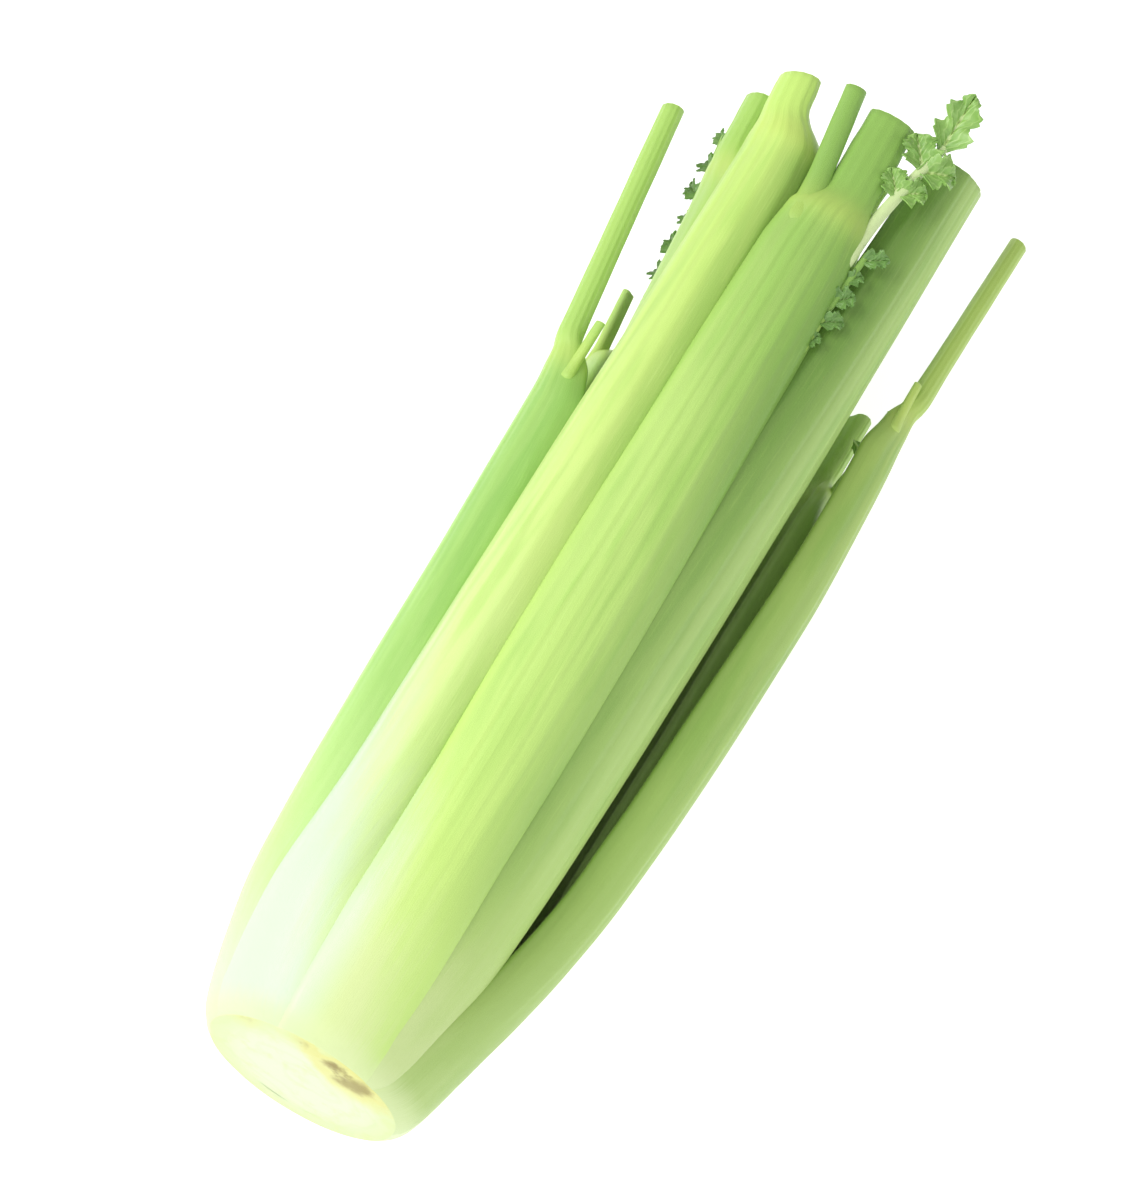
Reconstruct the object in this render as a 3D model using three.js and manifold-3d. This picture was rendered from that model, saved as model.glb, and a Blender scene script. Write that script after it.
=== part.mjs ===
// A trimmed head of celery lying on a table. Millimetres, +Z up.
// The root end is towards -X and the cut tops towards +X. Every stalk is a ribbed channel that
// grows from the crown, opens towards the heart, and ends in a knife cut or forks at a node.
// A place on the head is given by how far it is up the head from the root cut, and by a compass
// angle round the head's axis: 0 is the top side as it lies, 90 the side towards -Y.
import * as THREE from "three";
import { mergeVertices } from "three/addons/utils/BufferGeometryUtils.js";
import Module from "manifold-3d";

const wasm = await Module();
wasm.setup();

// Driving sizes of the head
const trimmedLength = 350; // root cut to the knife cut across the tops
const cutRadius = 30.8; // the root cut with the stalk bases round it
const restHeight = 45.2; // the axis above the table, with the two lowest stalks pressed flat
const seam = 0.35; // free space left between two stalks that touch
const crownRadius = 23.4;

// Profiles up the head: [distance from the root cut, value]
const headRadius = [
  [0, cutRadius], [1.6, 32.8], [4.5, 34.8], [12, 37.4], [25, 40.8], [45, 44.8],
  [75, 46.8], [120, 47.4], [180, 47.6], [260, 48.4], [trimmedLength, 50],
];
const innerRadius = [[12, 24], [26, 27.4], [60, 30.4], [120, 31.4], [220, 31.8], [trimmedLength, 32.4]];
const heartRadius = [[24, 12.5], [50, 16.5], [110, 18.6], [200, 19], [trimmedLength, 20]];
const stalkSpread = [
  [0, 0.72], [20, 0.8], [60, 0.92], [110, 1], [200, 0.99], [300, 0.9], [trimmedLength, 0.84],
];
const wallShare = [[0, 0.78], [14, 1.06], [60, 1.08], [120, 1], [220, 0.94], [trimmedLength, 0.84]];
const marginWall = [[0, 7.5], [20, 6.4], [70, 3.2], [140, 3.5], [trimmedLength, 3.2]];

// Where things change up the head, from and to
const broadBase = [5, 95]; // a base spreads and turns below this
const opening = [15, 100]; // flush bases round off into channels
const ribsRise = [10, 110];
const leansFrom = 60;
const slimsFrom = 140;
const shoulderLength = 22; // the last of a stalk below its node
const slantLength = 40; // the last of a stalk below a slanting cut

// How round a wall is across, where it is flush and where it is open
const flushRoundness = 0.1;
const openRoundness = 0.8;
// How much lower a tucked margin lies, for each unit of tuck
const flushTuck = 0.5;
const openTuck = 4.8;

const radians = THREE.MathUtils.degToRad;
const smooth = THREE.MathUtils.smoothstep;
const mix = THREE.MathUtils.lerp;

// Value of a profile at a place, on a smooth curve through its points
function along(profile, place) {
  const last = profile.length - 1;
  if (place <= profile[0][0]) return profile[0][1];
  if (place >= profile[last][0]) return profile[last][1];
  const k = profile.findIndex((point) => point[0] > place) - 1;
  const slope = (i) => {
    const [before, after] = [profile[Math.max(i - 1, 0)], profile[Math.min(i + 1, last)]];
    return (after[1] - before[1]) / (after[0] - before[0]);
  };
  const span = profile[k + 1][0] - profile[k][0];
  const t = (place - profile[k][0]) / span;
  const [t2, t3] = [t * t, t * t * t];
  return (
    (2 * t3 - 3 * t2 + 1) * profile[k][1] + (t3 - 2 * t2 + t) * span * slope(k) +
    (3 * t2 - 2 * t3) * profile[k + 1][1] + (t3 - t2) * span * slope(k + 1)
  );
}

// Directions round the head's axis at a compass angle in degrees
const outward = (angle) => new THREE.Vector3(0, -Math.sin(radians(angle)), Math.cos(radians(angle)));
const sideways = (angle) => new THREE.Vector3(0, -Math.cos(radians(angle)), -Math.sin(radians(angle)));

// A closed solid from a closed geometry
function solidOf(geometry) {
  const bare = new THREE.BufferGeometry().setAttribute("position", geometry.getAttribute("position"));
  if (geometry.index) bare.setIndex(geometry.index);
  const merged = mergeVertices(bare, 1e-4);
  const triVerts = new Uint32Array(merged.index.array);
  const vertProperties = new Float32Array(merged.attributes.position.array);
  const solid = new wasm.Manifold(new wasm.Mesh({ numProp: 3, vertProperties, triVerts }));
  if (solid.volume() > 0) return solid;
  for (let i = 0; i < triVerts.length; i += 3) {
    [triVerts[i + 1], triVerts[i + 2]] = [triVerts[i + 2], triVerts[i + 1]];
  }
  return new wasm.Manifold(new wasm.Mesh({ numProp: 3, vertProperties, triVerts }));
}

// A flat strip of unit size, extruded in steps, whose points are then placed by a function of
// across (-1 to 1), side (1 outer face, -1 inner face, 0 the two edges) and up (0 to 1)
function warpedStrip(outerPoints, innerPoints, steps, place) {
  const outline = new THREE.Shape();
  outerPoints.forEach((u, i) => (i ? outline.lineTo(u, 1) : outline.moveTo(u, 1)));
  outline.lineTo(1.5, 0);
  [...innerPoints].reverse().forEach((u) => outline.lineTo(u, -1));
  outline.lineTo(-1.5, 0);
  const strip = new THREE.ExtrudeGeometry(outline, { depth: 1, steps, bevelEnabled: false });
  const points = strip.getAttribute("position");
  const point = new THREE.Vector3();
  for (let i = 0; i < points.count; i++) {
    point.fromBufferAttribute(points, i);
    const placed = place(THREE.MathUtils.clamp(point.x, -1, 1), point.y, point.z);
    points.setXYZ(i, placed.x, placed.y, placed.z);
  }
  return solidOf(strip);
}

const evenly = (count) => Array.from({ length: count + 1 }, (_, k) => (2 * k) / count - 1);

// How a wall bows away from its crest, 0 in the middle and 1 at a margin: flat near the crest and
// steeper towards the margins the nearer roundness is to 1. Its slope comes with it.
function bow(across, roundness) {
  const root = Math.sqrt(1 - roundness * across ** 2);
  const whole = 1 - Math.sqrt(1 - roundness);
  return { drop: (1 - root) / whole, slope: (roundness * across) / root / whole };
}

const ribHeight = (stalk, up) => stalk.ribHeight * smooth(up, ...ribsRise);

// The middle surface of a stalk's wall at a place up it: across is -1 at its left margin, 1 at its
// right. At the root the stalks are broad and lie flush round the crown; higher up each one rounds
// into a channel.
function wallAt(stalk, across, up) {
  const side = across < 0 ? 0 : 1;
  const atRoot = 1 - smooth(up, ...broadBase);
  const opened = smooth(up, ...opening);
  const turn = stalk.angle + stalk.lean * smooth(up, leansFrom, stalk.end) + stalk.rootTurn * atRoot;
  const nearNode = 1 - stalk.shoulder * smooth(up, stalk.end - shoulderLength, stalk.end);
  const narrowed = mix(1, stalk.slim, smooth(up, slimsFrom, stalk.end)) * nearNode;
  const half = stalk.half[side] * along(stalkSpread, up) * narrowed * (1 + stalk.foot[side] * atRoot);
  const wall = stalk.wall * along(wallShare, up) * mix(1, nearNode, 0.5);
  const round = along(stalk.ring, up) + along(stalk.flare, up);
  const flushDrop = half ** 2 / (2 * round) + flushTuck * stalk.tuck[side];
  const openDrop = (stalk.curve * half ** 2) / stalk.half[side] ** 2 + openTuck * stalk.tuck[side];
  const drop = mix(flushDrop, openDrop, opened);
  const bowed = bow(across, mix(flushRoundness, openRoundness, opened));
  const margin = Math.min(along(marginWall, up), 0.8 * wall);
  return {
    turn,
    out: round - wall / 2 - ribHeight(stalk, up) - drop * bowed.drop,
    aside: half * across,
    slope: Math.atan2(drop * bowed.slope, half),
    thick: margin + (wall - margin) * (1 - across ** 2) ** 0.7,
  };
}

// A point of a stalk's surface, or of the smooth shape round it when it is grown by a clearance
function stalkPoint(stalk, across, side, up, grown) {
  const wall = wallAt(stalk, across, up);
  const ridge = grown ? 1 : Math.sin((Math.PI * stalk.ribs * (across + 1)) / 2) ** 2;
  const rib = side > 0 ? ribHeight(stalk, up) * ridge : 0;
  const off = side * (wall.thick / 2 + grown) + rib;
  const past = side === 0 ? Math.sign(across) * (wall.thick / 2 + grown) : 0;
  const aside = wall.aside + off * Math.sin(wall.slope) + past * Math.cos(wall.slope);
  const out = wall.out + off * Math.cos(wall.slope) - past * Math.sin(wall.slope);
  const slant = stalk.slant * aside * smooth(up, stalk.end - slantLength, stalk.end);
  return outward(wall.turn)
    .multiplyScalar(out)
    .addScaledVector(sideways(wall.turn), aside)
    .add(new THREE.Vector3(up + slant, 0, 0));
}

// The whole channel of a stalk from its root to its node or its cut, with more rows near the root
const rowCrowding = 1.35;
const innerFacePoints = 4;

function channel(stalk, grown = 0) {
  const upAt = (t) => mix(stalk.start, stalk.end, Math.min(t ** rowCrowding, 1));
  const outerFace = evenly(2 * stalk.ribs);
  return warpedStrip(outerFace, evenly(innerFacePoints), stalk.steps, (across, side, t) =>
    stalkPoint(stalk, across, side, upAt(t) + (t === 1 ? grown : 0), grown),
  );
}

// A thin stem that forks off a stalk. It starts inside the stalk's wall, swells where it leaves,
// and ends in a cut.
const stemSwell = 0.35;
const stemFaces = { flatHalf: 0.57, edge: 1, thick: 0.83, flat: 0.8 };

function branchPath(stalk, branch) {
  const from = wallAt(stalk, branch.across, branch.at);
  const start = outward(from.turn)
    .multiplyScalar(from.out)
    .addScaledVector(sideways(from.turn), from.aside)
    .add(new THREE.Vector3(branch.at, 0, 0));
  const [rise, aside, out] = branch.reach;
  const reach = new THREE.Vector3(rise, 0, 0)
    .addScaledVector(sideways(from.turn), aside)
    .addScaledVector(outward(from.turn), out);
  const bend = sideways(from.turn).multiplyScalar(branch.bend ?? 0);
  const middle = start.clone().addScaledVector(reach, 0.5).add(bend);
  const curve = new THREE.QuadraticBezierCurve3(start, middle, start.clone().add(reach));
  return { curve, turn: from.turn };
}

function frameOn(path, t) {
  const ahead = path.curve.getTangent(t);
  const aside = sideways(path.turn);
  const across = aside.clone().addScaledVector(ahead, -aside.dot(ahead)).normalize();
  return { at: path.curve.getPoint(t), ahead, across, out: new THREE.Vector3().crossVectors(across, ahead) };
}

function stem(stalk, branch, grown = 0) {
  const path = branchPath(stalk, branch);
  const steps = branch.steps ?? 3;
  return warpedStrip([-0.5, 0.5], [-0.5, 0.5], steps, (across, side, t) => {
    const frame = frameOn(path, t);
    const swell = 1 + stemSwell * (1 - smooth(t, 0, 0.5));
    const girth = mix(branch.girth[0], branch.girth[1], t) * swell + grown;
    const wide = Math.sign(across) * (side === 0 ? stemFaces.edge : stemFaces.flatHalf);
    const high = side * stemFaces.thick * (branch.flat ?? stemFaces.flat);
    return frame.at.addScaledVector(frame.across, girth * wide).addScaledVector(frame.out, girth * high);
  });
}

// Celery leaflet: a thin arched blade with cut lobes and teeth, as half widths up the blade
const lobes = [0.12, 0.62, 0.5, 1, 0.62, 0.84, 0.4, 0.5, 0.08];
const blade = { thick: 0.7, cup: 0.35, ruffle: 0.16, tooth: 0.05, shorten: 0.35, droop: 0.6 };

function leaflet(root, ahead, out, length, width, curl) {
  const across = new THREE.Vector3().crossVectors(ahead, out).normalize();
  const face = new THREE.Vector3().crossVectors(across, ahead).normalize();
  const rows = lobes.length;
  const positions = [];
  for (const side of [1, -1]) {
    for (let row = 0; row < rows; row++) {
      const t = row / (rows - 1);
      for (const edge of [-1, 0, 1]) {
        const reach = edge * lobes[row] * width;
        const tooth = edge && row % 2 ? blade.tooth * length : 0;
        const forward = length * (t - blade.shorten * curl * t * t) + tooth;
        const ruffle = blade.ruffle * width * Math.sin(2.4 * row + 2 * edge) * Math.abs(edge);
        const droop = blade.droop * curl * length * t * t;
        const height = blade.cup * Math.abs(reach) + ruffle - droop + (side * blade.thick) / 2;
        const point = root.clone()
          .addScaledVector(ahead, forward)
          .addScaledVector(across, reach)
          .addScaledVector(face, height);
        positions.push(point.x, point.y, point.z);
      }
    }
  }
  const index = [];
  const at = (side, row, column) => (side > 0 ? 0 : rows * 3) + row * 3 + column;
  const quad = (a, b, c, d) => index.push(a, b, c, a, c, d);
  for (let row = 0; row + 1 < rows; row++) {
    for (const column of [0, 1]) {
      const corners = [[row, column], [row, column + 1], [row + 1, column + 1], [row + 1, column]];
      const [a, b, c, d] = corners.map(([r, k]) => at(1, r, k));
      quad(a, b, c, d);
      const [e, f, g, h] = corners.map(([r, k]) => at(-1, r, k));
      index.push(e, g, f, e, h, g);
    }
    quad(at(1, row, 0), at(1, row + 1, 0), at(-1, row + 1, 0), at(-1, row, 0));
    quad(at(1, row + 1, 2), at(1, row, 2), at(-1, row, 2), at(-1, row + 1, 2));
  }
  const top = rows - 1;
  for (const column of [0, 1]) {
    quad(at(-1, 0, column), at(-1, 0, column + 1), at(1, 0, column + 1), at(1, 0, column));
    quad(at(1, top, column), at(1, top, column + 1), at(-1, top, column + 1), at(-1, top, column));
  }
  const sheet = new THREE.BufferGeometry()
    .setAttribute("position", new THREE.Float32BufferAttribute(positions, 3))
    .setIndex(index);
  return solidOf(sheet);
}

// The leaflets on a thin stem: [place on the stem, turn to the side in degrees, length, width, curl]
const leafletRise = 0.25; // how much a leaflet stands off the head
const leafletRoot = 1; // how deep its foot is set in the stem

function leaves(stalk, branch) {
  const path = branchPath(stalk, branch);
  return (branch.leaflets ?? []).map(([t, turn, length, width, curl]) => {
    const frame = frameOn(path, t);
    const ahead = frame.ahead.clone().applyAxisAngle(frame.out, -radians(turn));
    ahead.addScaledVector(frame.out, leafletRise).normalize();
    const root = frame.at.addScaledVector(ahead, -leafletRoot);
    return leaflet(root, ahead, frame.out, length, width, curl);
  });
}

const trifoliate = (size) => [
  [0.97, 0, 15 * size, 6.5 * size, 0.5], [0.8, 52, 12 * size, 5 * size, 0.7],
  [0.82, -50, 12 * size, 5 * size, 0.3],
];
const plume = [
  [0.97, -12, 19, 6.5, -0.3], [0.8, 50, 15, 6.5, 0.6], [0.82, -50, 14, 6.5, 0.3],
  [0.62, 44, 11, 5, 0.4], [0.6, -52, 11, 5, 0.2],
];
const feathered = [
  [0.97, 0, 17, 7, 0.4], [0.72, 56, 13, 5.5, 0.6], [0.74, -52, 13, 5.5, 0.5],
  [0.42, 62, 11, 5, 0.4], [0.45, -60, 10, 4.5, 0.8],
];

// A row of small leaflets down one side of a stem: side is -1 for its left and 1 for its right
function fringe(side, count) {
  return Array.from({ length: count }, (_, k) => {
    const size = (2 * k) % 3;
    const [turn, length, width] = [28 + 12 * size, 7 + 1.6 * size, 2.8 + 0.5 * (k % 3)];
    return [(k + 1) / (count + 0.3), side * turn, length, width, 0.3 + 0.2 * (k % 2)];
  });
}

// The stalks, outermost first. Where two meet, the one lower in the list is pressed in by the
// other. Pairs are for the left and the right margin: half is the width from crest to margin,
// foot widens it at the root and tuck lowers it. Slim and shoulder narrow a stalk towards its end
// and at its node, flare moves it outwards, and curve is how deep its channel is.
const outer = {
  start: 0, lean: 0, rootTurn: 0, foot: [0.1, 0.1], slim: 1, shoulder: 0, flare: [[0, 0]],
  tuck: [0.5, 0.5], half: [15, 15], curve: 5.6, wall: 8.6, ribs: 6, ribHeight: 0.8, slant: 0,
  steps: 10, branches: [], ring: headRadius,
};
const inner = {
  ...outer, start: 10, ring: innerRadius, half: [11, 11], wall: 6.2, curve: 6.5, ribs: 4,
  ribHeight: 0.6, steps: 7, tuck: [0, 0],
};
const heart = {
  ...outer, start: 20, ring: heartRadius, half: [7, 7], wall: 4.6, curve: 4.5, ribs: 3,
  ribHeight: 0.5, steps: 6, tuck: [0, 0],
};

const stalks = [
  {
    ...outer, name: "outer_stalk_top", angle: 17, lean: -3, half: [15.8, 15.8], slim: 0.92,
    curve: 6.4, tuck: [-0.35, 0], ribs: 7, shoulder: 0.16, end: 311,
    branches: [
      { at: 292, across: 0.22, reach: [54, -1.5, -1], girth: [9, 7.6], flat: 0.56 },
      { at: 293, across: -0.45, reach: [55, -7.5, 1.5], girth: [4, 3.4] },
      { at: 290, across: 0.75, reach: [56, 9, 4], girth: [2.4, 1.5], bend: -2, leaflets: plume },
      { at: 258, across: 0.9, reach: [44, 3, 2.5], girth: [1.5, 1], steps: 4, leaflets: fringe(1, 5) },
    ],
  },
  {
    ...outer, name: "outer_stalk_left", angle: -23, lean: 3, half: [15.2, 15.6], rootTurn: -6,
    foot: [0.4, 0.1], slim: 0.94, curve: 8.2, tuck: [0.2, 1.8], shoulder: 0.12, end: 330,
    branches: [{ at: 312, across: -0.1, reach: [35.5, -4.2, 0], girth: [8, 7], flat: 0.7 }],
  },
  {
    ...outer, name: "outer_stalk_right", angle: 50, lean: 6, rootTurn: -4, half: [15, 15.5],
    foot: [0, -0.15], slim: 0.8, curve: 5, tuck: [0.6, 0.1], end: 349, slant: 0.16,
    flare: [[10, -0.6], [60, -2.8], [200, -1.6], [350, -2.6]],
  },
  {
    ...outer, name: "side_stalk_right", angle: 97, rootTurn: -13, foot: [0.5, 0.35],
    half: [12.5, 12.5], slim: 0.86, curve: 6.5, ribs: 5, tuck: [0.3, 0.6], shoulder: 0.5, end: 282,
    flare: [
      [20, 0], [42, 1.2], [68, 4.3], [94, 7.1], [125, 9.4], [200, 11.5], [240, 10.5], [268, 8.4],
      [290, 4.5],
    ],
    branches: [
      { at: 266, across: -0.15, reach: [87, 1, 2.5], girth: [4.4, 3.8], flat: 1.1, bend: -1, steps: 4 },
      { at: 270, across: -0.6, reach: [18, -4, 0], girth: [3, 2.3], steps: 2 },
    ],
  },
  {
    ...outer, name: "side_stalk_left", angle: -63, half: [15, 13.5], slim: 0.85, ribs: 5,
    tuck: [0.3, 0.9], shoulder: 0.5, end: 238, flare: [[60, 0], [105, 0.8], [235, 3.4]],
    branches: [
      { at: 218, across: 0.05, reach: [108, 0.5, 14], girth: [4.9, 4.2], flat: 1.1, bend: -1, steps: 4 },
      { at: 224, across: 0.6, reach: [22, 5, 1], girth: [3, 2.4], steps: 2 },
    ],
  },
  {
    ...outer, name: "under_stalk_right", angle: 129, half: [15.5, 14], tuck: [0.6, 0.8], ribs: 5,
    shoulder: 0.4, end: 258, flare: [[30, 0], [150, 2.4]],
    branches: [
      { at: 242, across: 0.2, reach: [46, 3, 2], girth: [6.2, 5.6] },
      { at: 238, across: -0.45, reach: [40, -5, 3], girth: [2.2, 1.5], leaflets: trifoliate(0.85) },
    ],
  },
  {
    ...outer, name: "bottom_stalk_right", angle: 164, half: [14.6, 16], curve: 5.2, ribs: 5,
    tuck: [0.2, 0.1], shoulder: 0.35, end: 322,
    branches: [
      { at: 306, across: 0, reach: [42, 1, 0], girth: [6.8, 6.2], flat: 0.75 },
      { at: 308, across: -0.6, reach: [30, -6, -1], girth: [3.4, 2.8] },
    ],
  },
  {
    ...outer, name: "bottom_stalk_left", angle: 202, half: [16, 16], tuck: [0.9, 0.2], ribs: 5,
    end: 346, slant: -0.12,
  },
  {
    ...outer, name: "under_stalk_left", angle: 247, half: [16.5, 16.5], tuck: [0.9, 0.9], ribs: 5,
    shoulder: 0.4, end: 262,
    branches: [
      { at: 246, across: -0.3, reach: [66, -3, 1], girth: [5.6, 4.8] },
      { at: 248, across: 0.5, reach: [32, 4, 1], girth: [3.2, 2.6] },
    ],
  },
  {
    ...inner, name: "inner_stalk_right", angle: 78, end: 310, shoulder: 0.35, flare: [[40, 0], [120, 2]],
    branches: [{ at: 298, across: 0, reach: [40, -2, 1], girth: [4.2, 3.6], leaflets: trifoliate(0.9) }],
  },
  {
    ...inner, name: "inner_stalk_left", angle: -54, lean: 6, end: 318, shoulder: 0.3,
    flare: [[190, 0], [320, 12]],
    branches: [
      { at: 304, across: -0.05, reach: [38, 0.5, 3], girth: [6.2, 5.6] },
      { at: 258, across: -0.85, reach: [74, -3, 9], girth: [1.8, 1.2], steps: 4, leaflets: fringe(-1, 7) },
    ],
  },
  {
    ...inner, name: "inner_stalk_top", angle: 22, end: 326, shoulder: 0.3, flare: [[40, 0], [120, 1]],
    branches: [{ at: 314, across: 0.2, reach: [26, 3, 0], girth: [4, 3.4] }],
  },
  { ...inner, name: "inner_stalk_under_right", angle: 146, end: 332, slant: 0.2 },
  {
    ...inner, name: "inner_stalk_under_left", angle: 222, end: 300, shoulder: 0.35,
    branches: [{ at: 288, across: 0, reach: [44, 1, 1], girth: [4, 3.4] }],
  },
  {
    ...heart, name: "heart_stalk_top", angle: -10, end: 256, shoulder: 0.3,
    branches: [{ at: 246, across: 0, reach: [74, 2, 1], girth: [2.8, 1.6], leaflets: feathered }],
  },
  {
    ...heart, name: "heart_stalk_right", angle: 112, end: 236, shoulder: 0.3,
    branches: [{ at: 226, across: 0, reach: [84, -2, 0], girth: [2.8, 1.5], leaflets: trifoliate(1.2) }],
  },
  {
    ...heart, name: "heart_stalk_left", angle: 234, end: 212, shoulder: 0.3,
    branches: [{ at: 202, across: 0, reach: [90, 2, -1], girth: [2.6, 1.4], leaflets: trifoliate(1.15) }],
  },
];

// The crown: the short solid stem that every stalk grows from, cut flat at the root end
const crownSides = 36;
const crownProfile = [
  [0, 0], [crownRadius, 0], [crownRadius + 2.2, 5], [crownRadius + 2.6, 9.2], [16.5, 13], [12.6, 20],
  [7, 30], [0, 38],
];

function crown(grown = 0) {
  const points = crownProfile.map(
    ([radius, up]) => new THREE.Vector2(radius ? radius + grown : 0, up ? up + grown : 0),
  );
  return solidOf(new THREE.LatheGeometry(points, crownSides).rotateZ(-Math.PI / 2));
}

// A block under the head whose top is the table, with room to spare on every side
const tableSize = { length: 900, width: 400, depth: 100, middle: 180 };
const table = solidOf(
  new THREE.BoxGeometry(tableSize.length, tableSize.width, tableSize.depth)
    .translate(tableSize.middle, 0, -tableSize.depth / 2 - restHeight),
);

// The largest body of a solid, without the scraps that a cut can leave
function mainBody(solid) {
  return solid.decompose().sort((a, b) => b.volume() - a.volume())[0];
}

function build() {
  const made = [{ name: "crown", solid: crown(), clear: crown(seam) }];
  for (const stalk of stalks) {
    let solid = channel(stalk);
    let clear = channel(stalk, seam);
    for (const branch of stalk.branches) {
      solid = solid.add(stem(stalk, branch));
      clear = clear.add(stem(stalk, branch, seam));
      for (const leaf of leaves(stalk, branch)) {
        solid = solid.add(leaf);
        clear = clear.add(leaf);
      }
    }
    for (const before of made) solid = solid.subtract(before.clear);
    made.push({ name: stalk.name, solid: mainBody(solid.subtract(table)), clear });
  }
  return made;
}

const colours = {
  crown: 0xf2f3cf, outer: 0xbfe07a, side: 0x9fce66, under: 0xaed672, bottom: 0xb6da78, inner: 0xd2e88e,
  heart: 0xe4ee9c,
};

const head = new THREE.Group();
for (const { name, solid } of build()) {
  const mesh = solid.getMesh();
  const geometry = new THREE.BufferGeometry()
    .setAttribute("position", new THREE.BufferAttribute(new Float32Array(mesh.vertProperties), 3))
    .setIndex(new THREE.BufferAttribute(mesh.triVerts, 1));
  geometry.computeVertexNormals();
  const color = colours[name.split("_")[0]];
  const skin = new THREE.MeshStandardMaterial({ color, roughness: 0.45, metalness: 0 });
  const piece = new THREE.Mesh(geometry, skin);
  piece.name = name;
  head.add(piece);
}

// The origin is on the table, below the middle of the head's box
const box = new THREE.Box3().setFromObject(head);
const middle = box.getCenter(new THREE.Vector3());
head.position.set(-middle.x, -middle.y, restHeight);

export default head;
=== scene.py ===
"""A trimmed head of celery, lying on its side: the looks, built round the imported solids.

Lengths are in millimetres until a mesh is made. A place on the head is given by how far it is up the
head from the root cut, and by a compass angle round the head's axis: 0 is the top side as it lies,
90 the side towards -Y. Each stalk is lofted from rings of points that run round its wall, from the
root cut over its node and into its thickest stem.
"""
import math
from dataclasses import dataclass

import bpy
import numpy as np
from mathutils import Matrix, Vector


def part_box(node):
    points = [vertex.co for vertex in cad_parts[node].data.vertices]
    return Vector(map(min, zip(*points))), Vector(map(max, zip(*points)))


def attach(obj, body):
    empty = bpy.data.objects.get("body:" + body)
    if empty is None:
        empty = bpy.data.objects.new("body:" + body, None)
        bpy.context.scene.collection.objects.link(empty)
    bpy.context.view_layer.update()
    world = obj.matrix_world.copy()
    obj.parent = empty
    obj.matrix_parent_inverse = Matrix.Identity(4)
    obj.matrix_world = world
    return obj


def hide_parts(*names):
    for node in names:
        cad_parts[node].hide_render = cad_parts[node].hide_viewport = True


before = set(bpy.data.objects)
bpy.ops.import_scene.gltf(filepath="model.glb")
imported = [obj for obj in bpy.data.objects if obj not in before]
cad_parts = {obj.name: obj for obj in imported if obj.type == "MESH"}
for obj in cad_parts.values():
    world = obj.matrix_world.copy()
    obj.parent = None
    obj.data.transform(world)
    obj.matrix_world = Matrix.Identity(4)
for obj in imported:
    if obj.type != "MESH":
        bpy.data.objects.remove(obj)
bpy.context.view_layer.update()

# Where the head's axis and its root cut are in the frame
crown_low, crown_high = (np.array(corner) * 1000 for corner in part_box("crown"))
AXIS = np.array([crown_low[0], (crown_low[1] + crown_high[1]) / 2, (crown_low[2] + crown_high[2]) / 2])

# Driving sizes of the head
TRIMMED = 350
CUT_RADIUS = 30.8

# Profiles up the head: (distance from the root cut, value)
HEAD_RADIUS = [
    (0, CUT_RADIUS), (1.6, 32.8), (4.5, 34.8), (12, 37.4), (25, 40.8), (45, 44.8),
    (75, 46.8), (120, 47.4), (180, 47.6), (260, 48.4), (TRIMMED, 50),
]
INNER_RADIUS = [(12, 24), (26, 27.4), (60, 30.4), (120, 31.4), (220, 31.8), (TRIMMED, 32.4)]
HEART_RADIUS = [(24, 12.5), (50, 16.5), (110, 18.6), (200, 19), (TRIMMED, 20)]
SPREAD = [(0, 0.72), (20, 0.8), (60, 0.92), (110, 1), (200, 0.99), (300, 0.9), (TRIMMED, 0.84)]
WALL_SHARE = [(0, 0.78), (14, 1.06), (60, 1.08), (120, 1), (220, 0.94), (TRIMMED, 0.84)]
MARGIN_WALL = [(0, 7.5), (20, 6.4), (70, 3.2), (140, 3.5), (TRIMMED, 3.2)]

# Where the shape changes up a stalk, from the root cut
BROAD_BASE = (5, 95)
OPENING = (15, 100)
RIBS_RISE = (10, 110)
LEANS_FROM = 60
SLIMS_FROM = 140
SHOULDER_LENGTH = 22
SLANT_LENGTH = 40

# How round a wall is and how far its margins are tucked in, at the flush base and where it is open
FLUSH_ROUNDNESS = 0.1
OPEN_ROUNDNESS = 0.8
FLUSH_TUCK = 0.5
OPEN_TUCK = 4.8

# The camera: it looks down on the head from its left, on a long lens
CAMERA_AZIMUTH = -61.576
CAMERA_ELEVATION = 61.564
CAMERA_DISTANCE = 1500
CAMERA_LENS = 149.811
CAMERA_SENSOR = 36
CAMERA_AIM = (173.85, 7.24, -2.6)


@dataclass
class Branch:
    """A stem above a stalk's node: reach is how far it goes up, to the side and outwards.

    Girth is its half width at its two ends, flat its thickness as a share of that, and bend how far its
    middle bows to the side. Pale lightens the stem, and painted_leaf_shade is painted shade that darkens
    its leaflets where they lie in shade.
    """

    at: float
    across: float
    reach: tuple
    girth: tuple
    flat: float = 0.8
    bend: float = 0
    pale: float = 0
    painted_leaf_shade: float = 0
    leaflets: tuple = ()


@dataclass
class Stalk:
    """A ribbed channel. Foot, tuck and half are pairs, for its left and its right margin.

    Ring is how far out it lies, and flare what is added to that. Neck is how far below and above its end
    it turns into its thickest stem. Lean and root_turn are in degrees round the head.
    """

    name: str
    angle: float
    end: float
    colours: str
    slot: str = "outer_stalks"
    ring: tuple = tuple(HEAD_RADIUS)
    start: float = 0
    lean: float = 0
    root_turn: float = 0
    foot: tuple = (0.1, 0.1)
    slim: float = 1
    shoulder: float = 0
    neck: tuple = (7, 6)
    flare: tuple = ((0, 0), (TRIMMED, 0))
    tuck: tuple = (0.5, 0.5)
    half: tuple = (15, 15)
    curve: float = 5.6
    wall: float = 8.6
    ribs: int = 6
    rib_height: float = 0.8
    slant: float = 0
    branches: tuple = ()
    points: int = 61
    spacing: float = 2.6
    seed: int = 0


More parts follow.
